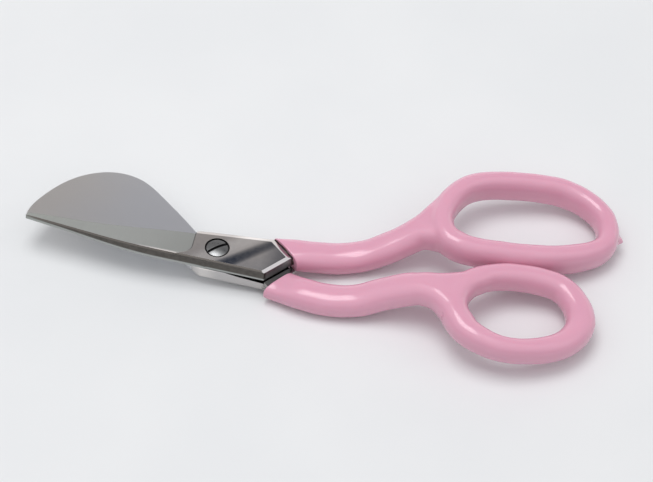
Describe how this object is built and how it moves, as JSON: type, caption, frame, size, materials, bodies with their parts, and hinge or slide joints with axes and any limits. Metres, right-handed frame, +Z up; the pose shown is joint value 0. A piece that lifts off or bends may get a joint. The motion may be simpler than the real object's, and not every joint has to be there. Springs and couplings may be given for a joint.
{
  "type": "duckbill applique scissors",
  "caption": "Small pivoted hand scissors with one plain knife blade, one wide duckbill paddle blade, a slotted pivot screw, offset shanks and two unequal vinyl-dipped finger loops.",
  "frame": {"origin": "on the surface the closed scissors lie on, under the middle of their box", "axes": "+X from the blade tips to the finger loops, +Y towards the paddle's round edge and the large bow, +Z up"},
  "size_m": [0.153, 0.0628, 0.0151],
  "materials": {
    "blade_steel": "satin ground blades, polished pivot plates",
    "screw_steel": "polished",
    "pink_vinyl": "glossy dipped vinyl"
  },
  "bodies": {
    "knife": {"knife_half": "blade_steel", "bow_grip": "pink_vinyl"},
    "bill": {"bill_half": "blade_steel", "thumb_grip": "pink_vinyl", "pivot_screw": "screw_steel"}
  },
  "joints": [
    {"name": "blade_pivot", "type": "hinge", "parent": "knife", "child": "bill", "pos_m": [-0.02544, -0.01017, 0.00632], "axis": [-0.0872, 0, -0.9962], "range_deg": [0, 100]}
  ]
}
